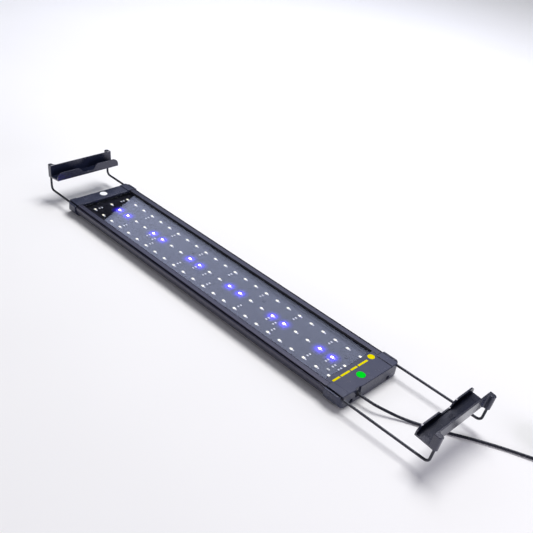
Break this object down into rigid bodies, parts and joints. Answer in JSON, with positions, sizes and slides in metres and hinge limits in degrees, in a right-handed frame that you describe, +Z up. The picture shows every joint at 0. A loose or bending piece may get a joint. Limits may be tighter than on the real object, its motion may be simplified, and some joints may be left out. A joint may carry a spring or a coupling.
{
  "type": "led aquarium light",
  "caption": "Slim black aquarium light: extruded tray of LEDs under a clear cover, end caps, and sliding rod brackets with channel clips for the tank rim.",
  "frame": {"origin": "centre of the housing's flat back, on the surface that the lamp lies on", "axes": "+X along the lamp towards the cord end, +Y across the lamp, +Z up, out of the light side"},
  "size_m": [0.7796, 0.1881, 0.0519],
  "materials": {
    "black_aluminium": "satin black anodised",
    "black_plastic": "fine moulded texture",
    "black_silicone": "matt",
    "dark_screw_steel": "blackened",
    "bright_screw_steel": "zinc plated",
    "clear_acrylic": "clear gloss",
    "black_board": "satin black solder mask",
    "grey_pad": "matt",
    "white_led": "cream lens in a white frame, lit",
    "blue_led": "blue lens in a white frame, lit",
    "resistor_ceramic": "tinned ends on a dark body",
    "diode_body": "moulded package",
    "red_wire": "satin",
    "black_wire": "satin",
    "solder": "bright",
    "black_rubber": "satin",
    "green_mark": "printed",
    "white_mark": "printed",
    "yellow_mark": "printed",
    "black_steel_rod": "satin black powder coat",
    "nylon": "natural",
    "clip_plastic": "fine moulded texture",
    "cord_pvc": "satin",
    "tie_plastic": "satin",
    "nickel": "nickel plated",
    "plug_insulator": "matt"
  },
  "bodies": {
    "lamp": {"housing_extrusion": "black_aluminium", "near_end_cap": "black_plastic", "far_end_cap": "black_plastic", "near_cap_gasket": "black_silicone", "far_cap_gasket": "black_silicone", "near_cap_screws": "dark_screw_steel", "far_cap_screws": "dark_screw_steel", "clear_cover": "clear_acrylic", "cover_seals": "black_silicone", "led_board": "black_board", "thermal_pad": "grey_pad", "board_screws": "bright_screw_steel", "white_leds": "white_led", "blue_leds": "blue_led", "resistors": "resistor_ceramic", "input_diode": "diode_body", "supply_wire": "red_wire", "return_wire": "black_wire", "solder_joints": "solder", "strain_relief": "black_rubber", "green_disc": "green_mark", "white_disc": "white_mark", "yellow_marks": "yellow_mark", "cord_run": "cord_pvc", "cord_coil": "cord_pvc", "cord_tail": "cord_pvc", "coil_tie": "tie_plastic", "plug_grip": "cord_pvc", "plug_barrel": "nickel", "plug_insulator": "plug_insulator"},
    "near_bracket": {"near_left_rod": "black_steel_rod", "near_right_rod": "black_steel_rod", "near_rod_sleeves": "nylon", "near_clip": "clip_plastic"},
    "far_bracket": {"far_left_rod": "black_steel_rod", "far_right_rod": "black_steel_rod", "far_rod_sleeves": "nylon", "far_clip": "clip_plastic"}
  },
  "joints": [
    {"name": "near_bracket_slide", "type": "slide", "parent": "lamp", "child": "near_bracket", "axis": [1, 0, 0], "range_m": [-0.098, 0.004]},
    {"name": "far_bracket_slide", "type": "slide", "parent": "lamp", "child": "far_bracket", "axis": [-1, 0, 0], "range_m": [-0.035, 0.068]}
  ]
}
